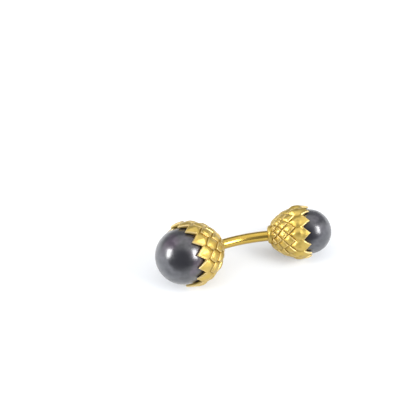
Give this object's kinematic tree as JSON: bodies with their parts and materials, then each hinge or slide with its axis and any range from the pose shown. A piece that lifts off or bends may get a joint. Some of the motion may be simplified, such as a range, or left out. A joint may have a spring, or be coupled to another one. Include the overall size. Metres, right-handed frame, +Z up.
{
  "type": "fixed-bar cufflink",
  "caption": "Double-ended cufflink: a short curved bar joins a large and a smaller pearl, each held in a cup of overlapping pointed scales, to close a double shirt cuff.",
  "frame": {"origin": "centre of the bounding box at the surface that the cufflink lies on", "axes": "+X along the length from the large pearl to the small pearl, +Z up from the surface, +Y to the side that the bar bends to"},
  "size_m": [0.0334, 0.0118, 0.0118],
  "materials": {
    "gold": "polished yellow gold",
    "dark_pearl_large": "glossy dark grey pearl with a blue and purple tint",
    "dark_pearl_small": "glossy dark grey pearl with a blue and purple tint"
  },
  "bodies": {
    "root": {"gold_frame": "gold", "large_pearl": "dark_pearl_large", "small_pearl": "dark_pearl_small"}
  },
  "joints": []
}
